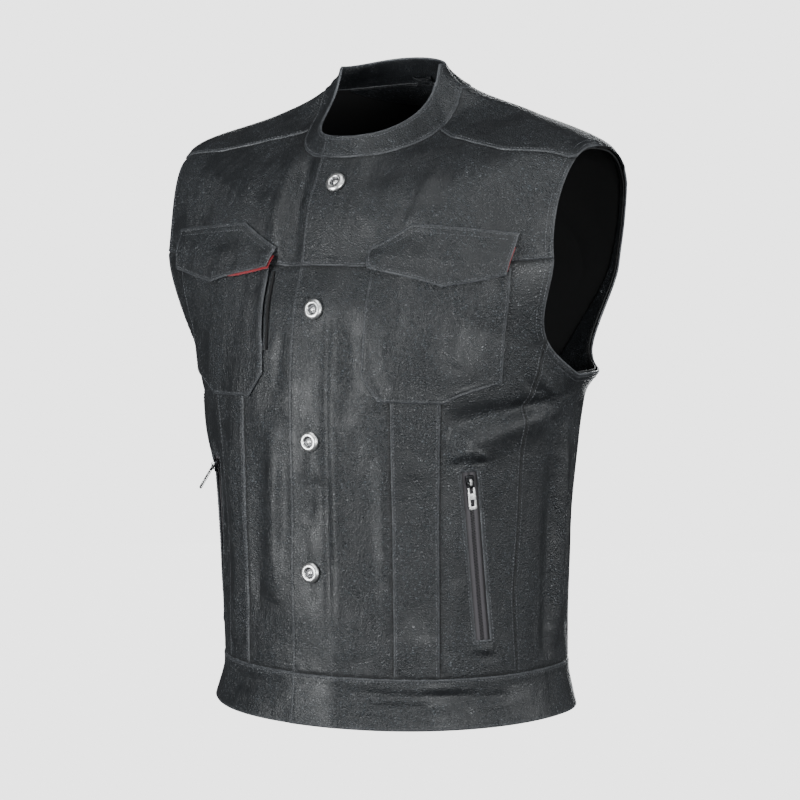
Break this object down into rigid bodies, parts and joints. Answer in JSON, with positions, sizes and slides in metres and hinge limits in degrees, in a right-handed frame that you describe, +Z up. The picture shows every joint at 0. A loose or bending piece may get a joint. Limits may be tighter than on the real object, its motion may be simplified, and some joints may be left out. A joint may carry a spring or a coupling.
{
  "type": "leather vest",
  "caption": "Black leather riding vest with a snap front, low stand collar, flapped chest pockets and zipped hand pockets, shown worn and hollow.",
  "frame": {"origin": "the middle of the wearer, at the height of the shoulders, where the vest hangs on its wearer", "axes": "+Z up, -Y out of the wearer's chest, +X towards the wearer's left"},
  "size_m": [0.4706, 0.3139, 0.6662],
  "materials": {
    "leather": "semi-gloss, fine grain",
    "red_lining": "satin",
    "zip_tape": "woven, matte",
    "silver": "polished"
  },
  "bodies": {
    "vest": {"armhole_facing_left": "leather", "armhole_facing_right": "leather", "back": "leather", "collar": "leather", "flap_left": "leather", "flap_lining_left": "red_lining", "flap_lining_right": "red_lining", "flap_right": "leather", "front_centre_left": "leather", "front_centre_right": "leather", "front_mid_left": "leather", "front_mid_right": "leather", "front_side_left": "leather", "front_side_right": "leather", "front_yoke_left": "leather", "front_yoke_right": "leather", "hanger_loop": "leather", "pocket_left": "leather", "pocket_right": "leather", "side_left": "leather", "side_right": "leather", "slit_lining_right": "leather", "snap_1": "silver", "snap_2": "silver", "snap_3": "silver", "snap_4": "silver", "waistband_back": "leather", "waistband_left": "leather", "waistband_right": "leather", "zip_slider_left": "silver", "zip_slider_right": "silver", "zip_tape_left": "zip_tape", "zip_tape_right": "zip_tape"},
    "pull_left": {"zip_pull_left": "silver"},
    "pull_right": {"zip_pull_right": "silver"}
  },
  "joints": [
    {"name": "pull_swing_left", "type": "hinge", "parent": "vest", "child": "pull_left", "pos_m": [0.15269, -0.12373, -0.36204], "axis": [-0.7017, -0.7042, -0.1082], "range_deg": [-2, 150]},
    {"name": "pull_swing_right", "type": "hinge", "parent": "vest", "child": "pull_right", "pos_m": [-0.15313, -0.12416, -0.36209], "axis": [-0.7017, 0.7042, 0.1082], "range_deg": [-34, 118]}
  ]
}
